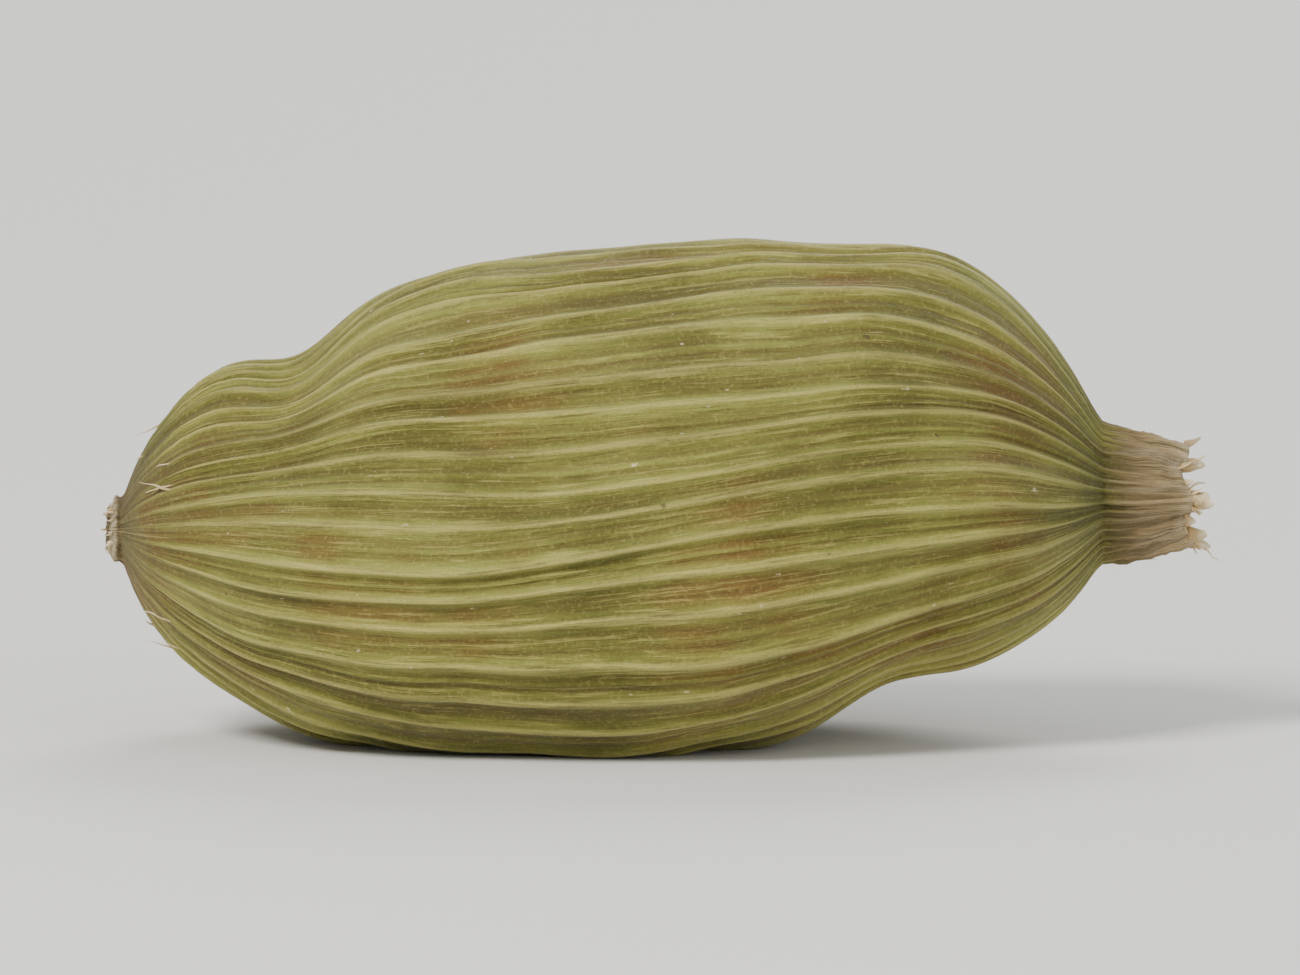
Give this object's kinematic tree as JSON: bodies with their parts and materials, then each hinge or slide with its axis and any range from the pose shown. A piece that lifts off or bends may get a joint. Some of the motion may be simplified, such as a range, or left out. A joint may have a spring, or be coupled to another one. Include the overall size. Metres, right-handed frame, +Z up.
{
  "type": "green cardamom pod",
  "caption": "Whole dried spice pod: a plump, finely ribbed green seed husk with blunt lobes, a small stalk scar at one end and a stubby torn beak at the other.",
  "frame": {"origin": "middle of the bounding box's bottom face, in the plane that the pod rests on", "axes": "+X along the pod from the stalk scar to the beak, +Z up with one lobe uppermost, +Y across the pod"},
  "size_m": [0.0166, 0.008, 0.0076],
  "materials": {
    "green_husk": "matte"
  },
  "bodies": {
    "root": {"pod": "green_husk"}
  },
  "joints": []
}
